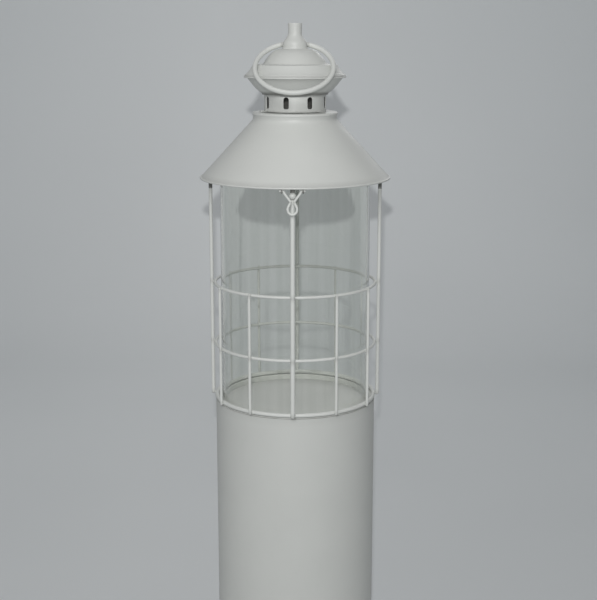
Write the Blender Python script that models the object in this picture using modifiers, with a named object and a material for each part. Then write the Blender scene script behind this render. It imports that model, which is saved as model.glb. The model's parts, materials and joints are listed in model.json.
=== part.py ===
"""Pillar candle holder: a sheet-metal pillar with a wire cage, a glass chimney and a hinged conical roof.

Metres, +Z up, origin at the centre of the footprint. The front, with the latch, faces -Y.
"""

import math

import bmesh
import bpy
from mathutils import Matrix, Vector

GAP = 0.0003                      # between neighbouring pieces
TAU = 2.0 * math.pi

# Pillar and candle tray
PILLAR_R = 0.0800
PILLAR_TOP = 0.5000
PILLAR_SHEET = 0.0010
PILLAR_FOOT = 0.0020              # bottom edge of the shell above the floor
PAD_R = 0.0090
PAD_HEIGHT = 0.0029
PAD_CIRCLE_R = 0.0600
BASE_SHEET = 0.0012
BASE_RIM_HEIGHT = 0.0120
TRAY_SHEET = 0.0008
TRAY_WALL_R = 0.0750
TRAY_DEPTH = 0.0050               # rim to the groove that the glass stands in
SEAT_R = 0.0700                   # raised candle plate inside the groove
SEAT_RISE = 0.0006

# Wire cage
CAGE_INNER_R = 0.0812             # circle that touches every post and bar from inside
RING_OUTER_R = CAGE_INNER_R - GAP
BOTTOM_WIRE_R = 0.0020
BASKET_WIRE_R = 0.0015
BAR_R = 0.0014
POST_R = 0.0018
FRONT_POST_R = 0.0022
TRAY_TOP = PILLAR_TOP + GAP + TRAY_SHEET
BOTTOM_RING_Z = TRAY_TOP + GAP + BOTTOM_WIRE_R
BASKET_STEP = 0.0540              # bottom ring to middle ring
BASKET_HEIGHT = 0.1150            # bottom ring to upper ring
EAVES_RING_Z = 0.7260
CAGE_FOOT_Z = TRAY_TOP + GAP
POST_TOP_Z = 0.7292
FRONT_POST_TOP_Z = 0.7286
BAR_OVERHANG = 0.0018             # above the upper ring

# Glass chimney
GLASS_R = 0.0736
GLASS_WALL = 0.0022
GLASS_TOP_Z = 0.7360

# Roof
ROOF_SHEET = 0.0010
EAVES_R = 0.0930
EAVES_Z = 0.7229
HEM_DROP = 0.0015
SHOULDER_TOP_Z = 0.7854
SHOULDER_R = 0.0406
SHOULDER_ROUND = 0.0034
SHOULDER_FOOT_Z = 0.7784
ROOF_MOUTH_R = 0.0286

# Vent collar
COLLAR_R = 0.0299
COLLAR_SHEET = 0.0008
COLLAR_FOOT_Z = 0.7862
COLLAR_TOP_Z = 0.8065
SLOT_COUNT = 8
SLOT_FIRST_DEG = -15.0            # from the front, towards +X
SLOT_WIDTH = 0.0053
SLOT_HEIGHT = 0.0117
SLOT_MID_Z = 0.7947
TAB_COUNT = 3
TAB_FIRST_DEG = 52.0
TAB_REACH_R = 0.0360
TAB_WIDTH = 0.0050

# Cap
CAP_SHEET = 0.0008
NECK_R = 0.0318
NECK_FOOT_Z = 0.8019
BOWL_FOOT_R, BOWL_FOOT_Z = 0.0330, 0.8040
BOWL_RIM_R, BOWL_RIM_Z = 0.0466, 0.8186
BOWL_POWER = 1.30
DOME_TOP_Z = 0.8449
STEM_HOLE_R = 0.0034
DOME_FLAT_R = 0.0120
DOME_EDGE_R, DOME_EDGE_Z = 0.0298, 0.8322
DOME_POWER = 2.3
LEDGE_IN_R, LEDGE_IN_Z = 0.0330, 0.8304
LEDGE_OUT_R, LEDGE_OUT_Z = 0.0408, 0.8302
BRIM_R, BRIM_Z = 0.0493, 0.8192
BRIM_HEM_DROP = 0.0012

# Finial, its stem, and the ring handle
FINIAL_TOP_Z = 0.8690
KNOB_R = 0.0066
KNOB_ROUND = 0.0010
KNOB_FOOT_Z = 0.8598
BELL_R = 0.0119
BELL_SHOULDER_Z = 0.8513
BELL_FOOT_Z = DOME_TOP_Z + GAP
BELL_POWER = 0.8                  # below 1 the bell spreads early
STEM_R = 0.0029
STEM_FOOT_Z = 0.8335
NUT_HEIGHT = 0.0040
NUT_R = 0.0058
WASHER_R = 0.0080
WASHER_SHEET = 0.0012
HANDLE_AXIS_Z = 0.8488
HANDLE_HOLE_R = 0.0027
HANDLE_R = 0.0369
HANDLE_WIRE_R = 0.00235
HANDLE_STRAIGHT = 0.0125          # half length of the straight pin inside the bell
HANDLE_REST_DEG = 36.4            # below the horizontal, towards the front

# Roof hinge, at the back
HINGE_Y, HINGE_Z = 0.0881, 0.7185
KNUCKLE_R = 0.0028
KNUCKLE_BORE_R = 0.0015
PIN_R = 0.0012
MID_KNUCKLE_HALF = 0.0038
HINGE_HALF = 0.0090
LEAF_THICK = 0.0012
LEAF_TOP_Z = 0.7246
LEG_OVERLAP = 0.0020              # of the leaf's legs into its plate
LEG_INSET = 0.0001                # of a leg behind its knuckle's end faces
PIN_OVERHANG = 0.0010

# Latch, at the front
LATCH_Y, LATCH_Z = -0.0886, 0.7199
LATCH_WIRE_R = 0.0012
BALL_R = 0.0034
BALL_Z = 0.7147
LUG_X = 0.0098
LUG_THICK = 0.0012
LUG_EYE_R = 0.0025
LUG_HOLE_R = 0.0016
LUG_TOP_Z = 0.7233
LUG_NECK_DEPTH = 0.0032
LUG_NECK_SHIFT = 0.0004           # of the neck towards the roof, behind the eye's centre

# Facets
SHEET_STEPS = 48
CAP_STEPS = 40
COLLAR_STEPS = 36
SMALL_STEPS = 28
EYE_SIDES = 20
PIN_SIDES = 16
WIRE_SIDES = 12
RING_SIDES = 8

PAINT = ("white_paint", (0.58, 0.59, 0.57, 1.0), 0.55, 0.0)
PILLAR_PAINT = ("pillar_paint", (0.56, 0.57, 0.55, 1.0), 0.60, 0.0)
GLASS = ("clear_glass", (0.90, 0.95, 0.93, 0.30), 0.03, 0.0)
RUBBER = ("dark_rubber", (0.05, 0.05, 0.05, 1.0), 0.85, 0.0)
ZINC = ("zinc_steel", (0.62, 0.63, 0.64, 1.0), 0.35, 1.0)


def clear_scene():
    for obj in list(bpy.data.objects):
        bpy.data.objects.remove(obj, do_unlink=True)


def new_collection(name):
    found = bpy.data.collections.new(name)
    bpy.context.scene.collection.children.link(found)
    return found


def material(spec):
    name, colour, roughness, metallic = spec
    found = bpy.data.materials.get(name)
    if found:
        return found
    made = bpy.data.materials.new(name)
    made.use_nodes = True
    shader = made.node_tree.nodes["Principled BSDF"]
    shader.inputs["Base Color"].default_value = colour
    shader.inputs["Roughness"].default_value = roughness
    shader.inputs["Metallic"].default_value = metallic
    return made


def smooth(mesh):
    mesh.shade_smooth()
    mesh.set_sharp_from_angle(angle=math.radians(35.0))


def add_part(name, data, spec, location=(0.0, 0.0, 0.0)):
    obj = bpy.data.objects.new(name, data)
    data.materials.append(material(spec))
    obj.location = location
    PARTS.objects.link(obj)
    return obj


def add_cutter(name, mesh, location=(0.0, 0.0, 0.0)):
    obj = bpy.data.objects.new(name, mesh)
    obj.location = location
    obj.hide_render = True
    obj.display_type = "WIRE"
    CUTTERS.objects.link(obj)
    return obj


def boolean(obj, tool, operation="DIFFERENCE"):
    mod = obj.modifiers.new(tool.name, "BOOLEAN")
    mod.object = tool
    mod.operation = operation


def screw_solid(name, profile, steps, spec, closed=False, sheet=0.0):
    """Turn an (r, z) outline, given from top to bottom, about Z. A sheet is thickened inwards."""
    mesh = bpy.data.meshes.new(name)
    count = len(profile)
    edges = [(i, i + 1) for i in range(count - 1)]
    if closed:
        edges.append((count - 1, 0))
    mesh.from_pydata([(r, 0.0, z) for r, z in profile], edges, [])
    obj = add_part(name, mesh, spec)
    mod = obj.modifiers.new("turn", "SCREW")
    mod.steps = steps
    mod.render_steps = steps
    mod.use_merge_vertices = True
    mod.merge_threshold = 0.00002
    if sheet:
        skin = obj.modifiers.new("sheet", "SOLIDIFY")
        skin.thickness = sheet
        skin.offset = -1.0
        skin.use_even_offset = True
    return obj


def tube_outline(outer, inner, low, high):
    return [(outer, high), (outer, low), (inner, low), (inner, high)]


def cylinder_mesh(name, radius, length, sides=PIN_SIDES, along_x=False):
    bm = bmesh.new()
    bmesh.ops.create_cone(bm, cap_ends=True, segments=sides, radius1=radius, radius2=radius, depth=length)
    if along_x:
        bmesh.ops.rotate(bm, verts=bm.verts, matrix=Matrix.Rotation(math.pi / 2, 3, "Y"))
    mesh = bpy.data.meshes.new(name)
    bm.to_mesh(mesh)
    bm.free()
    smooth(mesh)
    return mesh


def box_mesh(name, size):
    bm = bmesh.new()
    bmesh.ops.create_cube(bm, size=1.0)
    bmesh.ops.scale(bm, verts=bm.verts, vec=size)
    mesh = bpy.data.meshes.new(name)
    bm.to_mesh(mesh)
    bm.free()
    return mesh


def torus_part(name, major, minor, z, spec):
    bpy.ops.mesh.primitive_torus_add(
        major_radius=major, minor_radius=minor, major_segments=SHEET_STEPS, minor_segments=RING_SIDES)
    made = bpy.context.object
    mesh = made.data
    bpy.data.objects.remove(made, do_unlink=True)
    smooth(mesh)
    return add_part(name, mesh, spec, (0.0, 0.0, z))


def wire_curve(name, points, radius, cyclic):
    """A round wire through the points, as a curve with filled caps."""
    curve = bpy.data.curves.new(name, "CURVE")
    curve.dimensions = "3D"
    curve.bevel_depth = radius
    curve.bevel_resolution = 2
    curve.use_fill_caps = not cyclic
    spline = curve.splines.new("POLY")
    spline.points.add(len(points) - 1)
    for slot, point in zip(spline.points, points):
        slot.co = (*point, 1.0)
    spline.use_cyclic_u = cyclic
    return curve


def around(radius, degrees, z=0.0):
    """A point on a circle, with the angle taken from the front (-Y) towards +X."""
    angle = math.radians(degrees)
    return Vector((radius * math.sin(angle), -radius * math.cos(angle), z))


def pillar():
    shell = tube_outline(PILLAR_R, PILLAR_R - PILLAR_SHEET, PILLAR_FOOT, PILLAR_TOP)
    screw_solid("pillar_shell", shell, SHEET_STEPS, PILLAR_PAINT, closed=True)
    outer = PILLAR_R - PILLAR_SHEET - GAP
    floor = PAD_HEIGHT + GAP
    pan = [
        (outer, floor + BASE_RIM_HEIGHT), (outer, floor), (0.0, floor),
        (0.0, floor + BASE_SHEET), (outer - BASE_SHEET, floor + BASE_SHEET),
        (outer - BASE_SHEET, floor + BASE_RIM_HEIGHT)]
    screw_solid("pillar_base_pan", pan, SHEET_STEPS, ZINC, closed=True)
    for index in range(4):
        place = around(PAD_CIRCLE_R, 45.0 + 90.0 * index, PAD_HEIGHT / 2)
        mesh = cylinder_mesh("foot_pad", PAD_R, PAD_HEIGHT, EYE_SIDES)
        add_part(f"foot_pad_{index + 1}", mesh, RUBBER, place)


def candle_tray():
    """A pressed tray: a flat rim on the pillar, a wall, a groove for the glass and a raised candle plate."""
    rim = PILLAR_R - GAP / 2
    floor = TRAY_TOP - TRAY_DEPTH
    outline = [
        (rim, TRAY_TOP), (rim, TRAY_TOP - TRAY_SHEET), (TRAY_WALL_R + TRAY_SHEET, TRAY_TOP - TRAY_SHEET),
        (TRAY_WALL_R + TRAY_SHEET, floor - TRAY_SHEET), (0.0, floor - TRAY_SHEET),
        (0.0, floor + SEAT_RISE), (SEAT_R, floor + SEAT_RISE), (SEAT_R + SEAT_RISE, floor),
        (TRAY_WALL_R, floor), (TRAY_WALL_R, TRAY_TOP)]
    screw_solid("candle_tray", outline, SHEET_STEPS, PILLAR_PAINT, closed=True)


def cage_rings():
    rings = [
        ("cage_bottom_ring", BOTTOM_WIRE_R, BOTTOM_RING_Z),
        ("cage_middle_ring", BASKET_WIRE_R, BOTTOM_RING_Z + BASKET_STEP),
        ("cage_upper_ring", BASKET_WIRE_R, BOTTOM_RING_Z + BASKET_HEIGHT),
        ("eaves_ring", BASKET_WIRE_R, EAVES_RING_Z)]
    for name, wire, z in rings:
        torus_part(name, RING_OUTER_R - wire, wire, z, PAINT)


def upright(name, degrees, radius, top):
    length = top - CAGE_FOOT_Z
    mesh = cylinder_mesh(name, radius, length, WIRE_SIDES)
    add_part(name, mesh, PAINT, around(CAGE_INNER_R + radius, degrees, CAGE_FOOT_Z + length / 2))


def cage_uprights():
    upright("post_front", 0.0, FRONT_POST_R, FRONT_POST_TOP_Z)
    upright("post_right", 90.0, POST_R, POST_TOP_Z)
    upright("post_back", 180.0, POST_R, POST_TOP_Z)
    upright("post_left", 270.0, POST_R, POST_TOP_Z)
    bar_top = BOTTOM_RING_Z + BASKET_HEIGHT + BAR_OVERHANG
    angles = [30.0 * step for step in range(12) if step % 3]
    for index, degrees in enumerate(angles):
        upright(f"basket_bar_{index + 1}", degrees, BAR_R, bar_top)


def glass_chimney():
    foot = TRAY_TOP - TRAY_DEPTH + GAP
    outline = tube_outline(GLASS_R, GLASS_R - GLASS_WALL, foot, GLASS_TOP_Z)
    screw_solid("glass_chimney", outline, SHEET_STEPS, GLASS, closed=True)


def roof():
    outline = [(ROOF_MOUTH_R, SHOULDER_TOP_Z)]
    for degrees in (0.0, 45.0, 90.0):
        angle = math.radians(degrees)
        outline.append((SHOULDER_R - SHOULDER_ROUND * (1.0 - math.sin(angle)),
                        SHOULDER_TOP_Z - SHOULDER_ROUND * (1.0 - math.cos(angle))))
    outline.append((SHOULDER_R, SHOULDER_FOOT_Z))
    outline += [(EAVES_R, EAVES_Z), (EAVES_R, EAVES_Z - HEM_DROP)]
    screw_solid("roof_cone", outline, SHEET_STEPS, PAINT, sheet=ROOF_SHEET)


def slot_cutter():
    """Upright slots with round ends, as one cutter."""
    bm = bmesh.new()
    straight = SLOT_HEIGHT - SLOT_WIDTH
    steps = 6
    overrun = COLLAR_R / 10
    for index in range(SLOT_COUNT):
        degrees = SLOT_FIRST_DEG + 360.0 / SLOT_COUNT * index
        outline = []
        for half_turn, lift in ((0, straight / 2), (1, -straight / 2)):
            for step in range(steps + 1):
                angle = math.pi * (half_turn + step / steps)
                outline.append((SLOT_WIDTH / 2 * math.cos(angle), SLOT_WIDTH / 2 * math.sin(angle) + lift))
        turn = Matrix.Rotation(math.radians(degrees), 4, "Z")
        verts = [bm.verts.new(turn @ Vector((x, -COLLAR_R - overrun, SLOT_MID_Z + z))) for x, z in outline]
        face = bm.faces.new(verts)
        pushed = bmesh.ops.extrude_face_region(bm, geom=[face])["geom"]
        moved = [item for item in pushed if isinstance(item, bmesh.types.BMVert)]
        depth = Vector((0.0, COLLAR_SHEET + 2.0 * overrun, 0.0))
        bmesh.ops.translate(bm, verts=moved, vec=turn.to_3x3() @ depth)
    bmesh.ops.recalc_face_normals(bm, faces=bm.faces)
    mesh = bpy.data.meshes.new("vent_slots")
    bm.to_mesh(mesh)
    bm.free()
    return add_cutter("vent_slots", mesh)


def tab_joiner():
    """Three flat feet folded out from the collar's lower edge."""
    bm = bmesh.new()
    low = SHOULDER_TOP_Z + GAP
    inner = COLLAR_R - COLLAR_SHEET / 2
    for index in range(TAB_COUNT):
        made = bmesh.ops.create_cube(bm, size=1.0)["verts"]
        size = (TAB_WIDTH, TAB_REACH_R - inner, COLLAR_SHEET)
        bmesh.ops.scale(bm, verts=made, vec=size)
        bmesh.ops.translate(bm, verts=made, vec=(0.0, -(inner + TAB_REACH_R) / 2, low + COLLAR_SHEET / 2))
        turn = Matrix.Rotation(math.radians(TAB_FIRST_DEG + 360.0 / TAB_COUNT * index), 3, "Z")
        bmesh.ops.rotate(bm, verts=made, matrix=turn)
    mesh = bpy.data.meshes.new("collar_tabs")
    bm.to_mesh(mesh)
    bm.free()
    return add_cutter("collar_tabs", mesh)


def vent_collar():
    outline = tube_outline(COLLAR_R, COLLAR_R - COLLAR_SHEET, COLLAR_FOOT_Z, COLLAR_TOP_Z)
    collar = screw_solid("vent_collar", outline, COLLAR_STEPS, PAINT, closed=True)
    boolean(collar, slot_cutter())
    boolean(collar, tab_joiner(), "UNION")


def cap_bowl():
    steps = 4
    outline = []
    for step in range(steps, -1, -1):
        share = step / steps
        outline.append((BOWL_FOOT_R + (BOWL_RIM_R - BOWL_FOOT_R) * share,
                        BOWL_FOOT_Z + (BOWL_RIM_Z - BOWL_FOOT_Z) * share ** BOWL_POWER))
    outline.append((NECK_R, NECK_FOOT_Z))
    screw_solid("cap_bowl", outline, CAP_STEPS, PAINT, sheet=CAP_SHEET)


def cap_dome():
    steps = 5
    outline = [(STEM_HOLE_R, DOME_TOP_Z)]
    for step in range(steps + 1):
        share = step / steps
        outline.append((DOME_FLAT_R + (DOME_EDGE_R - DOME_FLAT_R) * share,
                        DOME_TOP_Z - (DOME_TOP_Z - DOME_EDGE_Z) * share ** DOME_POWER))
    outline += [(LEDGE_IN_R, LEDGE_IN_Z), (LEDGE_OUT_R, LEDGE_OUT_Z), (BRIM_R, BRIM_Z)]
    outline.append((BRIM_R, BRIM_Z - BRIM_HEM_DROP))
    screw_solid("cap_dome", outline, CAP_STEPS, PAINT, sheet=CAP_SHEET)


def finial():
    outline = [(0.0, FINIAL_TOP_Z), (KNOB_R - KNOB_ROUND, FINIAL_TOP_Z), (KNOB_R, FINIAL_TOP_Z - KNOB_ROUND)]
    outline.append((KNOB_R, KNOB_FOOT_Z))
    steps = 5
    for step in range(1, steps + 1):
        angle = TAU / 4 * step / steps
        outline.append((KNOB_R + (BELL_R - KNOB_R) * math.sin(angle) ** BELL_POWER,
                        KNOB_FOOT_Z - (KNOB_FOOT_Z - BELL_SHOULDER_Z) * (1.0 - math.cos(angle))))
    outline += [(BELL_R, BELL_FOOT_Z), (STEM_R, BELL_FOOT_Z), (STEM_R, STEM_FOOT_Z), (0.0, STEM_FOOT_Z)]
    body = screw_solid("finial", outline, SMALL_STEPS, PAINT)
    hole = cylinder_mesh("handle_hole", HANDLE_HOLE_R, 4.0 * BELL_R, EYE_SIDES, along_x=True)
    boolean(body, add_cutter("handle_hole", hole, (0.0, 0.0, HANDLE_AXIS_Z)))


def cap_fixings():
    under = DOME_TOP_Z - CAP_SHEET - GAP
    hole = STEM_R + GAP
    washer = tube_outline(WASHER_R, hole, under - WASHER_SHEET, under)
    screw_solid("cap_washer", washer, SMALL_STEPS, ZINC, closed=True)
    top = under - WASHER_SHEET - GAP
    place = (0.0, 0.0, top - NUT_HEIGHT / 2)
    nut = add_part("cap_nut", cylinder_mesh("cap_nut", NUT_R, NUT_HEIGHT, 6), ZINC, place)
    bore = cylinder_mesh("nut_bore", hole, 2.0 * NUT_HEIGHT, EYE_SIDES)
    boolean(nut, add_cutter("nut_bore", bore, place))


def ring_handle():
    centre = math.sqrt(HANDLE_R ** 2 - HANDLE_STRAIGHT ** 2)
    opening = math.asin(HANDLE_STRAIGHT / HANDLE_R)
    steps = 44
    points = []
    for step in range(steps + 1):
        angle = opening + (TAU - 2.0 * opening) * step / steps
        points.append((HANDLE_R * math.sin(angle), -(centre - HANDLE_R * math.cos(angle)), 0.0))
    ring = add_part("ring_handle", wire_curve("ring_handle", points, HANDLE_WIRE_R, True), PAINT)
    ring.location = (0.0, 0.0, HANDLE_AXIS_Z)
    ring.rotation_euler = (math.radians(HANDLE_REST_DEG), 0.0, 0.0)


def x_tube(name, half, offset, spec=None):
    mesh = cylinder_mesh(name, KNUCKLE_R, 2.0 * half, EYE_SIDES, along_x=True)
    place = (offset, HINGE_Y, HINGE_Z)
    return add_part(name, mesh, spec, place) if spec else add_cutter(name, mesh, place)


def roof_hinge():
    bore = cylinder_mesh("hinge_bore", KNUCKLE_BORE_R, 4.0 * HINGE_HALF, EYE_SIDES, along_x=True)
    bore_cutter = add_cutter("hinge_bore", bore, (0.0, HINGE_Y, HINGE_Z))
    knuckle = x_tube("cage_hinge_knuckle", MID_KNUCKLE_HALF, 0.0, PAINT)
    boolean(knuckle, bore_cutter)

    plate_foot = HINGE_Z + KNUCKLE_R + GAP
    plate_height = LEAF_TOP_Z - plate_foot
    leaf = add_part(
        "roof_hinge_leaf", box_mesh("roof_hinge_leaf", (2.0 * HINGE_HALF, LEAF_THICK, plate_height)), PAINT,
        (0.0, HINGE_Y, plate_foot + plate_height / 2))
    half = (HINGE_HALF - MID_KNUCKLE_HALF - GAP) / 2
    leg_height = KNUCKLE_R + LEG_OVERLAP
    for side, label in ((-1.0, "left"), (1.0, "right")):
        middle = side * (HINGE_HALF - half)
        leg = box_mesh(f"leaf_leg_{label}", (2.0 * (half - 2.0 * LEG_INSET), LEAF_THICK, leg_height))
        leg_place = (middle, HINGE_Y, HINGE_Z + leg_height / 2)
        boolean(leaf, add_cutter(f"leaf_leg_{label}", leg, leg_place), "UNION")
        boolean(leaf, x_tube(f"leaf_knuckle_{label}", half - LEG_INSET, middle), "UNION")
    boolean(leaf, bore_cutter)
    pin = cylinder_mesh("hinge_pin", PIN_R, 2.0 * (HINGE_HALF + PIN_OVERHANG), along_x=True)
    add_part("hinge_pin", pin, ZINC, (0.0, HINGE_Y, HINGE_Z))


def latch_ball():
    bm = bmesh.new()
    bmesh.ops.create_uvsphere(bm, u_segments=PIN_SIDES, v_segments=10, radius=BALL_R)
    mesh = bpy.data.meshes.new("latch_ball")
    bm.to_mesh(mesh)
    bm.free()
    smooth(mesh)
    place = around(CAGE_INNER_R + FRONT_POST_R, 0.0, BALL_Z)
    ball = add_part("latch_ball", mesh, PAINT, place)
    bore = cylinder_mesh("ball_bore", FRONT_POST_R + GAP, 4.0 * BALL_R)
    boolean(ball, add_cutter("ball_bore", bore, place))


def latch_lugs():
    for side, label in ((-1.0, "left"), (1.0, "right")):
        place = (side * LUG_X, LATCH_Y, LATCH_Z)
        disc = cylinder_mesh("lug", LUG_EYE_R, LUG_THICK, EYE_SIDES, along_x=True)
        eye = add_part(f"latch_lug_{label}", disc, PAINT, place)
        height = LUG_TOP_Z - LATCH_Z
        neck = box_mesh(f"lug_neck_{label}", (LUG_THICK, LUG_NECK_DEPTH, height))
        neck_place = (side * LUG_X, LATCH_Y + LUG_NECK_SHIFT, LATCH_Z + height / 2)
        boolean(eye, add_cutter(f"lug_neck_{label}", neck, neck_place), "UNION")
        hole = cylinder_mesh(f"lug_hole_{label}", LUG_HOLE_R, 4.0 * LUG_THICK, along_x=True)
        boolean(eye, add_cutter(f"lug_hole_{label}", hole, place))


def catmull_rom(points, steps):
    """A smooth path through the points."""
    path = []
    ends = [points[0] * 2.0 - points[1], *points, points[-1] * 2.0 - points[-2]]
    for index in range(1, len(ends) - 2):
        a, b, c, d = ends[index - 1:index + 3]
        for step in range(steps):
            t = step / steps
            path.append(0.5 * (2.0 * b + (c - a) * t + (2.0 * a - 5.0 * b + 4.0 * c - d) * t * t
                               + (3.0 * b - a - 3.0 * c + d) * t ** 3))
    path.append(points[-1])
    return path


def latch_wire():
    """A bail whose arms pass in front of the ball, draw in to a neck below it and open into a finger loop."""
    half = [(0.0112, 0.0), (0.0090, 0.0), (0.0077, -0.0009), (0.0073, -0.0023), (0.0050, -0.0055),
            (0.0028, -0.0085), (0.0019, -0.0106), (0.0029, -0.0128), (0.0041, -0.0155), (0.0042, -0.0182),
            (0.0028, -0.0207)]
    left = [Vector((-x, 0.0, z)) for x, z in half]
    right = [Vector((x, 0.0, z)) for x, z in reversed(half)]
    path = catmull_rom(left + [Vector((0.0, 0.0, -0.0219))] + right, 2)
    curve = wire_curve("latch_wire", path, LATCH_WIRE_R, False)
    add_part("latch_wire", curve, PAINT, (0.0, LATCH_Y, LATCH_Z))


clear_scene()
PARTS = new_collection("pillar_candle_holder")
CUTTERS = new_collection("cutters")
pillar()
candle_tray()
cage_rings()
cage_uprights()
glass_chimney()
roof()
vent_collar()
cap_bowl()
cap_dome()
finial()
cap_fixings()
ring_handle()
roof_hinge()
latch_ball()
latch_lugs()
latch_wire()
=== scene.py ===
"""Looks of the pillar candle holder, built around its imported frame. Metres, +Z up, the front faces -Y."""

import json
import math

import bmesh
import bpy
from mathutils import Matrix, Vector, noise


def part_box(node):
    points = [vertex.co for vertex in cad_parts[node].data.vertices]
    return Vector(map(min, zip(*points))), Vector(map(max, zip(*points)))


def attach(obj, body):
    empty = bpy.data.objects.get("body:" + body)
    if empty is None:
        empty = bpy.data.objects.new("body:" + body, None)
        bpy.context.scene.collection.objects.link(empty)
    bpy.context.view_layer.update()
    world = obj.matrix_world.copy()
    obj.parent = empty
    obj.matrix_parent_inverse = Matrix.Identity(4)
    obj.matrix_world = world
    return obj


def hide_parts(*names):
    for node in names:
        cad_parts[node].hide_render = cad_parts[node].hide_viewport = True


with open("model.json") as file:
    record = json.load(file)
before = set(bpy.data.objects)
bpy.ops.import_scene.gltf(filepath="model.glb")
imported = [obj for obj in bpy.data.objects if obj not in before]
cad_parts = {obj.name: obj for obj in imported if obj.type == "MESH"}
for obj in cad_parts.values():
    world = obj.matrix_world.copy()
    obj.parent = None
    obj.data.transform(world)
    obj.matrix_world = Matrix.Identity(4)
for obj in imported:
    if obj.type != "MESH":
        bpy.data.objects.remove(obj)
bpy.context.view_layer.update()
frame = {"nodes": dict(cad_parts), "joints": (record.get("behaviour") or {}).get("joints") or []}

TAU = 2.0 * math.pi

# Camera, placed where the photographer stood
CAMERA_PLACE = (0.0335, -1.1995, 0.8649)
CAMERA_TILT_DEG = 12.5            # below the horizon
CAMERA_TURN_DEG = 1.44            # about Z, to the left
LENS_MM = 73.8
SENSOR_MM = 36.0

# Backdrop: one sheet of floor, cove and wall
WALL_Y = 2.80
COVE_R = 0.90
WALL_TOP = 3.40
FLOOR_HALF = 4.00
# Painted pool of light: the paper is lighter in its middle than at its sides.
BACKDROP_MIDDLE = (0.82, 0.84, 0.845)
BACKDROP_SIDES = (0.70, 0.725, 0.735)

# Flash beside the camera
FLASH_ABOVE = 0.085
FLASH_LEFT = 0.008
FLASH_SIZE = 0.012
FLASH_W = 14.2
WALL_FLASH_ABOVE = 0.046
WALL_FLASH_LEFT = 0.004
WALL_FLASH_SIZE = 0.004
WALL_FLASH = 7.6

# Soft boxes: name, what it lights, place, size and power
SOFT_BOXES = (
    ("front_box", "metal", (-0.3, -2.2, 2.2), (1.4, 1.0), 26.0),
    ("top_box", "metal", (0.0, -0.2, 2.6), (1.5, 1.5), 0.6),
    ("rear_box", "metal", (0.5, 2.2, 1.7), (1.3, 1.2), 6.5),
    ("left_glass_box", "glass", (-1.40, 2.05, 0.50), (1.1, 1.5), 0.7),
    ("right_glass_box", "glass", (1.75, 1.90, 0.50), (1.5, 1.5), 0.8),
    ("floor_box", "backdrop", (-0.2, 1.4, 3.0), (2.5, 2.5), 16.5),
)
SOFT_BOX_TARGET = (0.0, 0.0, 0.62)
WORLD_COLOUR = (0.96, 0.98, 1.0, 1.0)
WORLD_STRENGTH = 0.25

# Facets
AROUND = 192
WIRE_SIDES = 20

# Sheet and wire details that the frame's solids leave out
EDGE_ROUND = 0.00035              # broken edges of cut sheet
GLASS_WALL = 0.0022
ROOF_SHEET = 0.0010
CAP_SHEET = 0.0008
TRAY_SHEET = 0.0008
PILLAR_SHEET = 0.0010
COLLAR_R = 0.0299
COLLAR_SHEET = 0.0008
COLLAR_FOOT_Z = 0.7862
PIN_R = 0.0012
PIN_BORE_R = 0.0015
LUG_HOLE_R = 0.0016
LEAF_SHEET = 0.0012
GAP = 0.0003

# Dark colour mixed in as painted shade in creases, hollows and sheltered parts, with a little dirt.
SHADE_AND_DUST_COLOUR = (0.10, 0.097, 0.088)


# ---------------------------------------------------------------- materials

def new_material(name):
    mat = bpy.data.materials.new(name)
    mat.use_nodes = True
    tree = mat.node_tree
    return mat, tree, tree.nodes["Principled BSDF"]


def object_noise(tree, scale, detail=2.0, stretch=(1.0, 1.0, 1.0)):
    """A noise value laid out in the object's own metres."""
    place = tree.nodes.new("ShaderNodeTexCoord")
    mapping = tree.nodes.new("ShaderNodeMapping")
    mapping.inputs["Scale"].default_value = stretch
    pattern = tree.nodes.new("ShaderNodeTexNoise")
    pattern.inputs["Scale"].default_value = scale
    pattern.inputs["Detail"].default_value = detail
    tree.links.new(place.outputs["Object"], mapping.inputs["Vector"])
    tree.links.new(mapping.outputs["Vector"], pattern.inputs["Vector"])
    return pattern.outputs["Fac"]


def ranged(tree, value, low, high, source=(0.3, 0.7)):
    node = tree.nodes.new("ShaderNodeMapRange")
    node.inputs["From Min"].default_value, node.inputs["From Max"].default_value = source
    node.inputs["To Min"].default_value = low
    node.inputs["To Max"].default_value = high
    tree.links.new(value, node.inputs["Value"])
    return node.outputs["Result"]


def mixed(tree, share, first, second):
    """A colour between two, each a colour or a socket."""
    node = tree.nodes.new("ShaderNodeMix")
    node.data_type = "RGBA"
    tree.links.new(share, node.inputs["Factor"])
    for socket, colour in ((node.inputs["A"], first), (node.inputs["B"], second)):
        if isinstance(colour, bpy.types.NodeSocket):
            tree.links.new(colour, socket)
        else:
            socket.default_value = (*colour, 1.0)
    return node.outputs["Result"]


def bumped(tree, height, strength, distance, under=None):
    node = tree.nodes.new("ShaderNodeBump")
    node.inputs["Strength"].default_value = strength
    node.inputs["Distance"].default_value = distance
    tree.links.new(height, node.inputs["Height"])
    if under is not None:
        tree.links.new(under, node.inputs["Normal"])
    return node.outputs["Normal"]


def shade_and_dust_value(tree):
    """Painted shade, with a little dirt, that the meshes carry in their creases, hollows and sheltered
    parts. It is zero where a mesh has none.
    """
    node = tree.nodes.new("ShaderNodeAttribute")
    node.attribute_name = "shade_and_dust"
    return node.outputs["Fac"]


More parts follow.
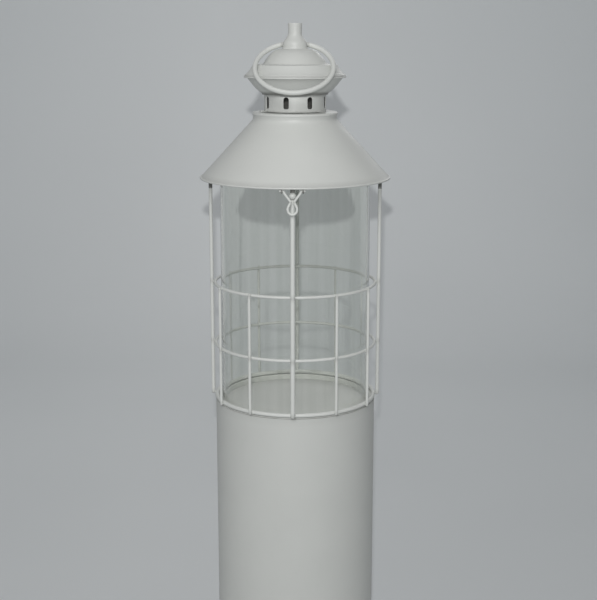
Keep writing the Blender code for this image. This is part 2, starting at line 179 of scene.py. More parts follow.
def powder_coat(name, colour, rough):
    """Baked powder paint: faint mottling, orange peel, small specks, and painted shade with a little dirt in
    creases, hollows and sheltered parts.
    """
    mat, tree, shader = new_material(name)
    light = tuple(min(1.0, c * 1.012) for c in colour)
    dark = tuple(c * 0.982 for c in colour)
    base = mixed(tree, ranged(tree, object_noise(tree, 26.0, 4.0), 0.0, 1.0), dark, light)
    specks = ranged(tree, object_noise(tree, 1500.0, 1.0), 0.0, 0.30, (0.72, 0.80))
    base = mixed(tree, specks, base, tuple(c * 0.62 for c in colour))
    # Painted shade: the stored share of the dark colour, broken up a little by noise.
    shade_share = tree.nodes.new("ShaderNodeMath")
    shade_share.operation = "MULTIPLY"
    tree.links.new(shade_and_dust_value(tree), shade_share.inputs[0])
    tree.links.new(ranged(tree, object_noise(tree, 160.0, 3.0), 0.80, 1.0), shade_share.inputs[1])
    base = mixed(tree, shade_share.outputs["Value"], base, SHADE_AND_DUST_COLOUR)
    tree.links.new(base, shader.inputs["Base Color"])
    tree.links.new(ranged(tree, object_noise(tree, 55.0, 3.0), rough - 0.05, rough + 0.07),
                   shader.inputs["Roughness"])
    peel = bumped(tree, object_noise(tree, 620.0, 2.0), 0.16, 0.0003)
    peel = bumped(tree, object_noise(tree, 90.0, 2.0), 0.05, 0.0010, peel)
    tree.links.new(peel, shader.inputs["Normal"])
    shader.inputs["Specular IOR Level"].default_value = 0.5
    return mat


def clear_glass(name):
    """Drawn tube glass: clear, with faint lengthwise draw lines and a few dull patches."""
    mat, tree, shader = new_material(name)
    shader.inputs["Transmission Weight"].default_value = 1.0
    shader.inputs["IOR"].default_value = 1.47
    lines = object_noise(tree, 150.0, 2.0, (1.0, 1.0, 0.015))
    tint = mixed(tree, ranged(tree, lines, 0.0, 1.0), (0.902, 0.919, 0.893), (0.966, 0.976, 0.958))
    tree.links.new(tint, shader.inputs["Base Color"])
    tree.links.new(ranged(tree, object_noise(tree, 9.0, 4.0), 0.0, 0.035, (0.45, 0.75)),
                   shader.inputs["Roughness"])
    tree.links.new(bumped(tree, lines, 0.10, 0.0006), shader.inputs["Normal"])
    return mat


def zinc(name):
    """Bright zinc plating with a fine grain and cloudy passivation."""
    mat, tree, shader = new_material(name)
    cloud = ranged(tree, object_noise(tree, 120.0, 4.0), 0.0, 1.0)
    plating = mixed(tree, cloud, (0.56, 0.57, 0.58), (0.70, 0.70, 0.69))
    tree.links.new(plating, shader.inputs["Base Color"])
    shader.inputs["Metallic"].default_value = 1.0
    tree.links.new(ranged(tree, object_noise(tree, 300.0, 3.0), 0.28, 0.46), shader.inputs["Roughness"])
    tree.links.new(bumped(tree, object_noise(tree, 1800.0, 1.0), 0.15, 0.0001), shader.inputs["Normal"])
    return mat


def rubber(name):
    """Moulded dark rubber, dusty in its texture."""
    mat, tree, shader = new_material(name)
    dust_and_shade = ranged(tree, object_noise(tree, 400.0, 4.0), 0.0, 0.6, (0.5, 0.8))
    base = mixed(tree, dust_and_shade, (0.028, 0.028, 0.030), (0.13, 0.125, 0.12))
    tree.links.new(base, shader.inputs["Base Color"])
    tree.links.new(ranged(tree, object_noise(tree, 200.0, 2.0), 0.68, 0.88), shader.inputs["Roughness"])
    tree.links.new(bumped(tree, object_noise(tree, 2500.0, 2.0), 0.35, 0.0002), shader.inputs["Normal"])
    return mat


def backdrop_paint(name):
    """Matt paper with faint clouds, and a painted pool of light along its middle."""
    mat, tree, shader = new_material(name)
    place = tree.nodes.new("ShaderNodeTexCoord")
    shift = tree.nodes.new("ShaderNodeMapping")
    shift.inputs["Location"].default_value = (0.22, 0.0, 0.0)
    split = tree.nodes.new("ShaderNodeSeparateXYZ")
    aside = tree.nodes.new("ShaderNodeMath")
    aside.operation = "ABSOLUTE"
    tree.links.new(place.outputs["Object"], shift.inputs["Vector"])
    tree.links.new(shift.outputs["Vector"], split.inputs["Vector"])
    tree.links.new(split.outputs["X"], aside.inputs[0])
    share = ranged(tree, aside.outputs["Value"], 0.0, 1.0, (0.1, 1.1))
    paper = mixed(tree, share, BACKDROP_MIDDLE, BACKDROP_SIDES)
    clouds = ranged(tree, object_noise(tree, 1.2, 2.0), 0.0, 0.12)
    tree.links.new(mixed(tree, clouds, paper, (0.50, 0.52, 0.53)), shader.inputs["Base Color"])
    shader.inputs["Roughness"].default_value = 0.95
    shader.inputs["Specular IOR Level"].default_value = 0.1
    return mat


ROOF_PAINT = powder_coat("roof_powder_coat", (0.657, 0.668, 0.640), 0.40)
CAGE_PAINT = powder_coat("cage_powder_coat", (0.712, 0.726, 0.696), 0.44)
PILLAR_PAINT = powder_coat("pillar_powder_coat", (0.612, 0.623, 0.597), 0.52)
TRAY_PAINT = powder_coat("tray_powder_coat", (0.690, 0.700, 0.668), 0.50)
GLASS = clear_glass("chimney_glass")
ZINC = zinc("zinc_plate")
RUBBER = rubber("pad_rubber")
BACKDROP = backdrop_paint("backdrop_paper")


# ---------------------------------------------------------------- outlines

def arc(centre, radius, first, last, steps=6):
    """Points on an arc in the (r, z) plane, angles in degrees from +r towards +z."""
    found = []
    for step in range(steps + 1):
        angle = math.radians(first + (last - first) * step / steps)
        found.append((centre[0] + radius * math.cos(angle), centre[1] + radius * math.sin(angle)))
    return found


def curve_through(points, steps):
    """A smooth path through points of any dimension."""
    spots = [Vector(p) for p in points]
    ends = [spots[0] * 2.0 - spots[1], *spots, spots[-1] * 2.0 - spots[-2]]
    path = []
    for index in range(1, len(ends) - 2):
        a, b, c, d = ends[index - 1:index + 3]
        for step in range(steps):
            t = step / steps
            path.append(0.5 * (2.0 * b + (c - a) * t + (2.0 * a - 5.0 * b + 4.0 * c - d) * t * t
                               + (3.0 * b - a - 3.0 * c + d) * t ** 3))
    path.append(spots[-1])
    return path


def filleted(points, radius, steps=4):
    """An open (r, z) path with each inner corner rounded by up to radius."""
    spots = [Vector(p) for p in points]
    path = [spots[0]]
    for before, corner, after in zip(spots, spots[1:], spots[2:]):
        reach = min(radius, 0.45 * (before - corner).length, 0.45 * (after - corner).length)
        start = corner + (before - corner).normalized() * reach
        end = corner + (after - corner).normalized() * reach
        for step in range(steps + 1):
            t = step / steps
            path.append(start * (1 - t) ** 2 + corner * 2 * t * (1 - t) + end * t * t)
    path.append(spots[-1])
    return path


def sheet_loop(path, thickness, end_steps=4):
    """A closed (r, z) loop for a sheet: the path is its outer face, and the inner face lies to its right."""
    spots = [Vector(p) for p in path]
    sides = []
    for index, spot in enumerate(spots):
        along = spots[min(index + 1, len(spots) - 1)] - spots[max(index - 1, 0)]
        along.normalize()
        sides.append(Vector((along.y, -along.x)))
    inner = [spot + side * thickness for spot, side in zip(spots, sides)]
    loop = list(spots)
    if spots[-1].x > 1e-6:
        loop += half_turn(spots[-1], inner[-1], end_steps)
    loop += reversed(inner)
    if spots[0].x > 1e-6:
        loop += half_turn(inner[0], spots[0], end_steps)
    for spot in loop:
        spot.x = max(spot.x, 0.0)
    return loop


def half_turn(start, end, steps):
    """Points of a half circle from start to end, bulging away from the sheet."""
    middle, reach = (start + end) / 2, (start - end) / 2
    bulge = Vector((reach.y, -reach.x))
    found = []
    for step in range(1, steps):
        angle = math.pi * step / steps
        found.append(middle + reach * math.cos(angle) - bulge * math.sin(angle))
    return found


# ---------------------------------------------------------------- meshes

def finish_mesh(name, bm, mat, sharp=40.0):
    bmesh.ops.recalc_face_normals(bm, faces=bm.faces)
    mesh = bpy.data.meshes.new(name)
    bm.to_mesh(mesh)
    bm.free()
    mesh.shade_smooth()
    mesh.set_sharp_from_angle(angle=math.radians(sharp))
    mesh.materials.append(mat)
    obj = bpy.data.objects.new(name, mesh)
    bpy.context.scene.collection.objects.link(obj)
    return obj


def around(radius, degrees, z=0.0):
    """A point on a circle, with the angle taken from the front (-Y) towards +X."""
    angle = math.radians(degrees)
    return Vector((radius * math.sin(angle), -radius * math.cos(angle), z))


def bridged(bm, rings, closed=False):
    """Joins closed rings of vertices by strips of four-sided faces."""
    pairs = list(zip(rings, rings[1:]))
    if closed:
        pairs.append((rings[-1], rings[0]))
    for here, there in pairs:
        count = len(here)
        for step in range(count):
            after = (step + 1) % count
            bm.faces.new((here[step], here[after], there[after], there[step]))


def turned_into(bm, loop, angles, shape=None, place=None):
    """Adds the closed (r, z) loop turned about Z to bm. shape moves a point by its angle."""
    columns = []
    for degrees in angles:
        column = []
        for index, (r, z) in enumerate(loop):
            if r < 1e-6:
                shared = columns[0][index] if columns else bm.verts.new(around(0.0, 0.0, z))
                column.append(shared)
                continue
            if shape:
                r, z = shape(degrees, r, z)
            column.append(bm.verts.new(around(r, degrees, z)))
        columns.append(column)
    count = len(loop)
    for here, there in zip(columns, columns[1:] + columns[:1]):
        for index in range(count):
            after = (index + 1) % count
            corners = [here[index], here[after], there[after], there[index]]
            single = list(dict.fromkeys(corners))
            if len(single) > 2:
                bm.faces.new(single)
    if place is not None:
        made = {vert for column in columns for vert in column}
        bmesh.ops.transform(bm, matrix=place, verts=list(made))


def even_angles(steps):
    return [360.0 * step / steps for step in range(steps)]


def turned(name, loop, mat, steps=AROUND, shape=None, place=None, angles=None):
    bm = bmesh.new()
    turned_into(bm, loop, angles or even_angles(steps), shape, place)
    return finish_mesh(name, bm, mat)


def swept_into(bm, path, radius, sides=WIRE_SIDES, closed=False, radius_at=None, round_steps=5):
    """Adds a round wire along the path to bm, with rounded ends where it is open."""
    spots = [Vector(p) for p in path]
    count = len(spots)
    turns = []
    for index in range(count):
        if closed:
            along = spots[(index + 1) % count] - spots[index - 1]
        else:
            along = spots[min(index + 1, count - 1)] - spots[max(index - 1, 0)]
        turns.append(along.normalized())
    side = turns[0].orthogonal().normalized()
    sides_along = [side]
    for before, here in zip(turns, turns[1:]):
        side = before.rotation_difference(here) @ side
        sides_along.append(side)
    twist = 0.0
    if closed:
        back = turns[-1].rotation_difference(turns[0]) @ side
        twist = math.atan2(back.cross(sides_along[0]).dot(turns[0]), back.dot(sides_along[0]))

    def ring(centre, along, start, r, roll=0.0):
        other = along.cross(start)
        found = []
        for step in range(sides):
            angle = TAU * step / sides + roll
            found.append(bm.verts.new(centre + (start * math.cos(angle) + other * math.sin(angle)) * r))
        return found

    rings = []
    for index in range(count):
        r = radius_at(index / count) * radius if radius_at else radius
        rings.append(ring(spots[index], turns[index], sides_along[index], r, twist * index / count))
    if not closed:
        for end, sign in ((0, -1.0), (-1, 1.0)):
            dome = []
            for step in range(1, round_steps):
                angle = math.pi / 2 * step / round_steps
                centre = spots[end] + turns[end] * sign * radius * math.sin(angle)
                dome.append(ring(centre, turns[end], sides_along[end], radius * math.cos(angle)))
            tip = bm.verts.new(spots[end] + turns[end] * sign * radius)
            rings = (list(reversed(dome)) + rings) if end == 0 else (rings + dome)
            last = rings[0] if end == 0 else rings[-1]
            for step in range(sides):
                bm.faces.new((last[step], last[(step + 1) % sides], tip))
    bridged(bm, rings, closed)


def swept(name, path, radius, mat, **options):
    bm = bmesh.new()
    swept_into(bm, path, radius, **options)
    return finish_mesh(name, bm, mat, 60.0)


def blob_into(bm, centre, size, degrees=0.0, seed=0.0):
    """Adds one uneven weld nugget to bm, its first axis outwards at that angle."""
    made = bmesh.ops.create_icosphere(bm, subdivisions=3, radius=1.0)["verts"]
    for vert in made:
        lump = 1.0 + 0.10 * noise.noise(vert.co * 1.7 + Vector((seed, seed * 1.3, 0.0)))
        vert.co = Vector((vert.co.x * size[1], vert.co.y * size[0], vert.co.z * size[2])) * lump
    turn = Matrix.Rotation(math.radians(degrees), 4, "Z")
    bmesh.ops.transform(bm, matrix=Matrix.Translation(centre) @ turn, verts=made)


def applied(obj, tool=None, operation="DIFFERENCE"):
    """Applies a Boolean with tool, which is then removed, or whatever modifiers obj has."""
    if tool is not None:
        mod = obj.modifiers.new("cut", "BOOLEAN")
        mod.operation = operation
        mod.object = tool
    bpy.context.view_layer.update()
    graph = bpy.context.evaluated_depsgraph_get()
    mesh = bpy.data.meshes.new_from_object(obj.evaluated_get(graph), depsgraph=graph)
    old = obj.data
    obj.modifiers.clear()
    obj.data = mesh
    mesh.name = obj.name
    bpy.data.meshes.remove(old)
    if tool is not None:
        bpy.data.objects.remove(tool, do_unlink=True)
    return obj


def crisp(obj, width, segments=2, limit=35.0):
    """Breaks the sharp edges of a cut mesh."""
    mod = obj.modifiers.new("edges", "BEVEL")
    mod.width = width
    mod.segments = segments
    mod.limit_method = "ANGLE"
    mod.angle_limit = math.radians(limit)
    mod.harden_normals = False
    applied(obj)
    obj.data.shade_smooth()
    obj.data.set_sharp_from_angle(angle=math.radians(50.0))
    return obj


def set_shade_and_dust(obj, amount, inside=None):
    """Stores each vertex's painted shade and dirt, 0 to 1, as amount(point) says, and at least inside if it
    faces the axis.
    """
    mesh = obj.data
    layer = mesh.attributes.new("shade_and_dust", "FLOAT", "POINT")
    for index, vert in enumerate(mesh.vertices):
        value = amount(vert.co)
        if inside is not None and vert.normal.xy.dot(vert.co.xy) < -0.2 * vert.co.xy.length:
            value = max(value, inside)
        layer.data[index].value = max(0.0, min(1.0, value))


def near(value, target, width):
    """1 at the target, falling to 0 at that distance."""
    return max(0.0, 1.0 - abs(value - target) / width)


def pivot_of(name):
    joint = next(j for j in frame["joints"] if j["name"] == name)
    return Vector(joint["pos_m"])


def piece(obj, body, slot, *nodes):
    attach(obj, body)
    if nodes:
        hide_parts(*nodes)
    return obj


# ---------------------------------------------------------------- pillar and tray

def seam_angles():
    """Even steps, with closer ones across the seam at the back."""
    wide = [degrees for degrees in even_angles(AROUND) if abs(degrees - 180.0) > 3.0]
    close = [177.0 + 0.25 * step for step in range(25)]
    return sorted(wide + close)


def pillar():
    low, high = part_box("pillar_shell")
    radius = high.x
    rows = 60
    outer = [(radius, high.z - (high.z - low.z) * row / rows) for row in range(rows + 1)]
    edge = 0.0004
    outer[:1] = [(radius - edge * 0.2, high.z - edge * 0.2), (radius, high.z - edge)]
    loop = sheet_loop(outer, PILLAR_SHEET)

    def shape(degrees, r, z):
        """Rolled sheet is never quite round, and its welded seam at the back stands in a shallow flute."""
        angle = math.radians(degrees)
        wave = noise.noise(Vector((math.sin(angle), math.cos(angle), z * 4.0)))
        flute = 0.00030 * math.exp(-((degrees - 180.0) / 0.55) ** 2)
        bead = 0.00018 * math.exp(-((degrees - 180.0) / 0.22) ** 2) * (1.0 + 0.4 * math.sin(z * 1400.0))
        return r + 0.00010 * wave - flute + bead, z

    obj = turned("pillar_shell_skin", loop, PILLAR_PAINT, shape=shape, angles=seam_angles())
    # Darker towards the foot, and painted shade in a thin band under the tray's rim.
    set_shade_and_dust(obj, lambda p: 0.20 * near(p.z, low.z, 0.012) + 0.15 * near(p.z, high.z, 0.0025))
    piece(obj, "holder", "pillar_paint", "pillar_shell")


def tray():
    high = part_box("candle_tray")[1]
    rim = high.x
    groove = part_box("glass_chimney")[0].z - GAP
    plate = groove + 0.0006
    wall = rim - 0.00485
    top_side = [
        (0.0, plate), (0.0200, plate), (0.0450, plate), (0.0692, plate), (0.0704, groove),
        (wall - 0.0002, groove), (wall, high.z), (rim - 0.0030, high.z), (rim - 0.0021, high.z),
        (rim - 0.0002, high.z)]
    path = filleted(top_side, 0.0010, 5)
    loop = sheet_loop(path, TRAY_SHEET)
    obj = turned("candle_tray_sheet", loop, TRAY_PAINT)

    # Painted shade: a dark line on the rim top inside the bottom ring, darkest at the back, and faint shade
    # in the inner corner and where the floor steps down.
    def dust_and_shade(p):
        r = p.xy.length
        if p.z > high.z - 0.0006:
            return (1.0 if p.y > 0.0 else 0.25) if r > rim - 0.0021 else 0.0
        return 0.16 * near(r, wall - 0.0012, 0.0030) + 0.06 * near(r, 0.0700, 0.0060)

    set_shade_and_dust(obj, dust_and_shade)
    piece(obj, "holder", "pillar_paint", "candle_tray")


def foot_pads():
    for index in range(4):
        node = f"foot_pad_{index + 1}"
        low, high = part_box(node)
        middle = (low + high) / 2
        radius = (high.x - low.x) / 2
        height = high.z - low.z
        path = filleted([(0.0, height), (radius - 0.0006, height), (radius, 0.0), (radius * 0.55, 0.0),
                         (radius * 0.50, 0.0006), (0.0, 0.0006)], 0.0004, 4)
        place = Matrix.Translation((middle.x, middle.y, low.z))
        obj = turned(node + "_moulded", path, RUBBER, 64, place=place)
        piece(obj, "holder", "dark_rubber", node)


# ---------------------------------------------------------------- cage

RINGS = (("cage_bottom_ring", 0.0020), ("cage_middle_ring", 0.0015), ("cage_upper_ring", 0.0015),
         ("eaves_ring", 0.0015))
BUTT_WELD_SHARE = 0.46            # of the way round, where each ring's ends meet


def ring_heights():
    found = {}
    for node in dict(RINGS):
        low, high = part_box(node)
        found[node] = (low.z + high.z) / 2
    return found


def far_cage_shade(p):
    """The far half of the cage is painted a little darker, as painted shade for the light the glass keeps
    from it, except down on the bottom ring.
    """
    return 0.16 if p.y > 0.01 and p.z > 0.51 else 0.02


def cage_rings():
    for node, wire in RINGS:
        low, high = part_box(node)
        radius = high.x - wire
        z = (low.z + high.z) / 2
        path = [around(radius, degrees, z) for degrees in even_angles(160)]
        obj = swept(node + "_wire", path, wire, CAGE_PAINT, closed=True,
                    radius_at=lambda share: 1.0 + 0.16 * math.exp(-((share - BUTT_WELD_SHARE) / 0.006) ** 2))
        set_shade_and_dust(obj, far_cage_shade)
        piece(obj, "holder", "cage_paint", node)


SHELTERED_Z = 0.7106              # posts are painted dark above this, as painted shadow under the roof's rim
UPRIGHTS = ["post_front", "post_right", "post_back", "post_left"] + [f"basket_bar_{i}" for i in range(1, 9)]


def upright_facts(node):
    """Where an upright stands: its angle, centre circle, wire radius, foot and top."""
    low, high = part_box(node)
    middle = (low + high) / 2
    degrees = math.degrees(math.atan2(middle.x, -middle.y)) % 360.0
    wire = max(high.x - low.x, high.y - low.y) / 2
    return degrees, middle.xy.length, wire, low.z, high.z


def upright_levels(foot, top, heights):
    """Heights for an upright's rows of points, closer where its painted shade changes."""
    steps = 28
    levels = [foot + (top - foot) * step / steps for step in range(steps + 1)]
    for z in heights:
        levels += [z - 0.0045, z, z + 0.0045]
    levels += [SHELTERED_Z, SHELTERED_Z + 0.0009]
    inside = sorted(z for z in levels if foot <= z <= top)
    return [foot] + [z for before, z in zip(inside, inside[1:]) if z - before > 0.0002]


def uprights():
    heights = list(ring_heights().values())
    for number, node in enumerate(UPRIGHTS):
        degrees, radius, wire, foot, top = upright_facts(node)
        path = []
        for z in upright_levels(foot + wire, top - wire, heights):
            bend = 0.00012 * noise.noise(Vector((number * 3.7, z * 9.0, 0.0)))
            path.append(around(radius + bend, degrees, z))
        obj = swept(node + "_rod", path, wire, CAGE_PAINT)
        # Painted shade where each upright crosses a ring, and painted shadow on its top under the roof's
        # rim.
        set_shade_and_dust(obj, lambda p: max(far_cage_shade(p), 0.30 * max(near(p.z, z, 0.0045) for z in heights),
                                     min(0.90, (p.z - SHELTERED_Z) / 0.0009)))
        piece(obj, "holder", "cage_paint", node)


def cage_welds():
    """Resistance welds where each upright crosses a ring, and the two that hold the hinge's knuckle."""
    bm = bmesh.new()
    heights = ring_heights()
    wires = dict(RINGS)
    for number, node in enumerate(UPRIGHTS):
        degrees, radius, wire, _, top = upright_facts(node)
        for ring_number, (ring, z) in enumerate(heights.items()):
            if z > top:
                continue
            contact = radius - wire
            spread = 0.55 * (wire + wires[ring]) / 2
            blob_into(bm, around(contact, degrees, z), (0.0008, spread * 1.5, spread * 1.3), degrees,
                      number + 0.37 * ring_number)
    low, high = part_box("cage_hinge_knuckle")
    post = upright_facts("post_back")
    outer = post[1] + post[2]
    for side in (-1.0, 1.0):
        centre = Vector((side * 0.0016, (outer + low.y) / 2 - 0.0004, (low.z + high.z) / 2))
        blob_into(bm, centre, (0.0011, 0.0014, 0.0020), 180.0, side)
    obj = finish_mesh("cage_welds", bm, CAGE_PAINT, 60.0)
    # The welds are painted a little darker all over, as painted shade in the joints.
    set_shade_and_dust(obj, lambda p: 0.22)
    piece(obj, "holder", "cage_paint")


def glass():
    low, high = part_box("glass_chimney")
    outer, inner = high.x, high.x - GLASS_WALL
    middle, half = (outer + inner) / 2, GLASS_WALL / 2
    rows = 24
    bottom, top = low.z + half, high.z - half
    loop = arc((middle, top), half, 180.0, 0.0, 8)
    loop += [(outer, top + (bottom - top) * row / rows) for row in range(1, rows)]
    loop += arc((middle, bottom), half, 0.0, -180.0, 8)
    loop += [(inner, bottom + (top - bottom) * row / rows) for row in range(1, rows)]

    def shape(degrees, r, z):
        """A drawn tube is round to a tenth of a millimetre or so."""
        angle = math.radians(degrees)
        return r + 0.00007 * noise.noise(Vector((2.2 * math.sin(angle), 2.2 * math.cos(angle), z * 3.0))), z

    obj = turned("glass_chimney_tube", loop, GLASS, 256, shape)
    obj.visible_shadow = False
    obj.visible_diffuse = False
    piece(obj, "holder", "clear_glass", "glass_chimney")


# ---------------------------------------------------------------- roof

HEM_R = 0.00095                   # the roof's rolled hem
INSIDE_SHADE = 0.45                # painted shade all over the roof's inner face


def cone_line():
    """The (r, z) ends of the roof's straight slope, top and foot, on its outer face."""
    low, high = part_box("roof_cone")
    return (0.0409, high.z - 0.0072), (high.x - 2.1 * HEM_R, low.z + 2.35 * HEM_R)


def roof_cone():
    low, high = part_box("roof_cone")
    rim = high.x
    top = high.z
    cone_top, cone_foot = cone_line()
    rows = 14
    cone = [Vector(cone_top).lerp(Vector(cone_foot), row / rows) for row in range(rows + 1)]
    mouth = [(0.0286, top), (0.0335, top), (0.0386, top - 0.0001)]
    bead = arc((0.0399, top - 0.0016), 0.0016, 78.0, -48.0, 8)
    neck = curve_through([bead[-1], (0.0406, top - 0.0040), (0.0405, top - 0.0056), cone[0]], 4)
    lip = arc((rim - HEM_R, low.z + HEM_R), HEM_R, 118.0, -95.0, 12)
    path = mouth + bead + neck[1:-1] + cone + lip
    loop = sheet_loop(path, ROOF_SHEET * 0.8)

    def shape(degrees, r, z):
        """The cone is rolled from sheet: a dressed weld runs down its back, and it isn't quite round."""
        angle = math.radians(degrees)
        on_cone = 1.0 if cone_foot[1] < z < cone_top[1] else 0.0
        weld = 0.00022 * math.exp(-((degrees - 180.0) / 0.9) ** 2) * on_cone
        wave = 0.00016 * noise.noise(Vector((1.6 * math.sin(angle), 1.6 * math.cos(angle), z * 20.0)))
        return r + wave * on_cone, z - weld

    obj = turned("roof_cone_sheet", loop, ROOF_PAINT, 256, shape)
    crease = rim - 2.1 * HEM_R

    # Painted shade: the whole inner face, a line above the rolled hem and a faint band at the neck under the
    # bead.
    def dust_and_shade(p):
        r = p.xy.length
        if r < 0.0380 and p.z < top - 0.0004:
            return INSIDE_SHADE
        outside = near(r, crease, 0.0016) * 0.16 if p.z > low.z + HEM_R else 0.0
        return outside + 0.08 * near(p.z, top - 0.0053, 0.0022)

    set_shade_and_dust(obj, dust_and_shade, INSIDE_SHADE)
    piece(obj, "roof", "roof_paint", "roof_cone")


SLOT_COUNT = 8
SLOT_FIRST_DEG = -15.0
SLOT_WIDTH = 0.0053
SLOT_HEIGHT = 0.0117
SLOT_MID_Z = 0.7947
TAB_FIRST_DEG = 52.0
TAB_WIDTH = 0.0050
TAB_REACH_R = 0.0360


def slot_outline(steps):
    """A slot's outline about its middle, anticlockwise from its right side's lowest point."""
    r = SLOT_WIDTH / 2
    half = (SLOT_HEIGHT - SLOT_WIDTH) / 2
    length = 4.0 * half + TAU * r
    found = []
    for step in range(steps):
        s = length * step / steps
        if s < 2 * half:
            found.append((r, -half + s))
        elif s < 2 * half + math.pi * r:
            angle = (s - 2 * half) / r
            found.append((r * math.cos(angle), half + r * math.sin(angle)))
        elif s < 4 * half + math.pi * r:
            found.append((-r, half - (s - 2 * half - math.pi * r)))
        else:
            angle = math.pi + (s - 4 * half - math.pi * r) / r
            found.append((r * math.cos(angle), -half + r * math.sin(angle)))
    return found


def vent_collar():
    """A rolled strip with punched slots. Each slot's rings of faces grow out to its own cell."""
    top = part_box("vent_collar")[1].z
    radius, inner, foot = COLLAR_R, COLLAR_R - COLLAR_SHEET, COLLAR_FOOT_Z
    bm = bmesh.new()
    half_cell = math.pi / SLOT_COUNT * radius
    per_side = 16
    corners = [Vector(p) for p in ((half_cell, foot - SLOT_MID_Z), (half_cell, top - SLOT_MID_Z),
                                   (-half_cell, top - SLOT_MID_Z), (-half_cell, foot - SLOT_MID_Z))]
    cell = []
    for start, end in zip(corners, corners[1:] + corners[:1]):
        cell += [start.lerp(end, step / per_side) for step in range(per_side)]
    count = len(cell)
    edge = [Vector(p) for p in slot_outline(count)]

    def distance(turn):
        """How far the slot's points lie from the cell's when they are counted from there on."""
        return sum((edge[(index + turn) % count] - cell[index]).length for index in range(count))

    shift = min(range(count), key=distance)
    edge = edge[shift:] + edge[:shift]
    lip = 0.00022

    def flat_ring(share, r):
        """Points between the slot's edge and its cell's, on one face of the strip."""
        return [(a.lerp(b, share), r) for a, b in zip(edge, cell)]

    def lip_ring(degrees, face, inwards):
        """Points round the slot's broken edge, 0 on the strip's face and 90 in the slot."""
        angle = math.radians(degrees)
        grow = lip * (1 - math.sin(angle))
        return [(p + p.normalized() * grow, face + inwards * lip * (1 - math.cos(angle))) for p in edge]

    rings = [flat_ring(share, radius) for share in (1.0, 0.66, 0.36, 0.14)]
    rings += [lip_ring(degrees, radius, -1.0) for degrees in (0.0, 30.0, 60.0, 90.0)]
    rings += [lip_ring(degrees, inner, 1.0) for degrees in (90.0, 60.0, 30.0, 0.0)]
    rings += [flat_ring(share, inner) for share in (0.14, 0.36, 0.66, 1.0)]
    for index in range(SLOT_COUNT):
        middle = SLOT_FIRST_DEG + 360.0 / SLOT_COUNT * index
        made = []
        for ring in rings:
            spots = [around(r, middle + math.degrees(p.x / radius), SLOT_MID_Z + p.y) for p, r in ring]
            made.append([bm.verts.new(spot) for spot in spots])
        bridged(bm, made)
    steps = SLOT_COUNT * per_side
    angles = [SLOT_FIRST_DEG + 180.0 / SLOT_COUNT + 360.0 * step / steps for step in range(steps)]
    half = COLLAR_SHEET / 2
    for z, lift in ((top, half * 0.6), (foot, -half * 0.6)):
        lip_loop = [(radius, z)]
        for step in range(1, 4):
            angle = math.pi * step / 4
            lip_loop.append((radius - half + half * math.cos(angle), z + lift * math.sin(angle)))
        lip_loop.append((inner, z))
        made = []
        for r, height in lip_loop:
            made.append([bm.verts.new(around(r, degrees, height)) for degrees in angles])
        bridged(bm, made)
    bmesh.ops.remove_doubles(bm, verts=bm.verts, dist=0.00001)
    tab_path = [(inner + 0.0002, 0.0022), (inner + 0.0002, 0.0010), (inner + 0.0014, 0.0001),
                (TAB_REACH_R - 0.0004, 0.0001)]
    for index in range(3):
        tab_into(bm, curve_through(tab_path, 5), TAB_FIRST_DEG + 120.0 * index, foot - 0.0003)
    obj = finish_mesh("vent_collar_band", bm, ROOF_PAINT, 50.0)
    # Painted shade: the collar's inner face is dark, so the slots look black, and a thin line runs along its
    # foot.
    inside = inner + 0.0002
    set_shade_and_dust(obj, lambda p: 1.0 if p.xy.length < inside else 0.35 * near(p.z, foot, 0.0010))
    piece(obj, "roof", "roof_paint", "vent_collar")


def tab_into(bm, path, degrees, base):
    """Adds a folded foot to bm: a strip along the (r, z) path, with rounded sides and a rounded toe."""
    thick = COLLAR_SHEET
    rows = []
    count = len(path)
    for index, (r, z) in enumerate(path):
        along = (path[min(index + 1, count - 1)] - path[max(index - 1, 0)]).normalized()
        up = Vector((-along.y, along.x))
        half = TAB_WIDTH / 2 * (0.80 if index == count - 1 else 1.0)
        section = []
        for step in range(12):
            angle = TAU * step / 12
            across = half * math.copysign(abs(math.cos(angle)) ** 0.25, math.cos(angle))
            lift = thick / 2 * math.copysign(abs(math.sin(angle)) ** 0.5, math.sin(angle)) + thick / 2
            section.append((across, Vector((r, z + base)) + up * lift))
        rows.append(section)
    turn = Matrix.Rotation(math.radians(degrees), 3, "Z")
    made = [[bm.verts.new(turn @ Vector((x, -p.x, p.y))) for x, p in section] for section in rows]
    bridged(bm, made)
    bm.faces.new(made[0])
    bm.faces.new(made[-1])


def cap_bowl():
    foot = (0.0330, 0.8040)
    rim = (0.0466, 0.8186)
    rows = 14
    flare = []
    for row in range(rows, -1, -1):
        share = row / rows
        flare.append((foot[0] + (rim[0] - foot[0]) * share,
                      foot[1] + (rim[1] - foot[1]) * share ** 1.30))
    path = flare + curve_through([flare[-1], (0.0321, 0.8030), (0.0318, 0.8020)], 4)[1:]
    loop = sheet_loop(path, CAP_SHEET)
    obj = turned("cap_bowl_spun", loop, ROOF_PAINT, 160)
    # Painted shadow: a dark band round the bowl's foot under the ring handle, and painted shade on its inner
    # face.
    set_shade_and_dust(obj, lambda p: 0.9 * near(p.z, foot[1] - 0.0010, 0.0030), 0.95)
    piece(obj, "roof", "roof_paint", "cap_bowl")


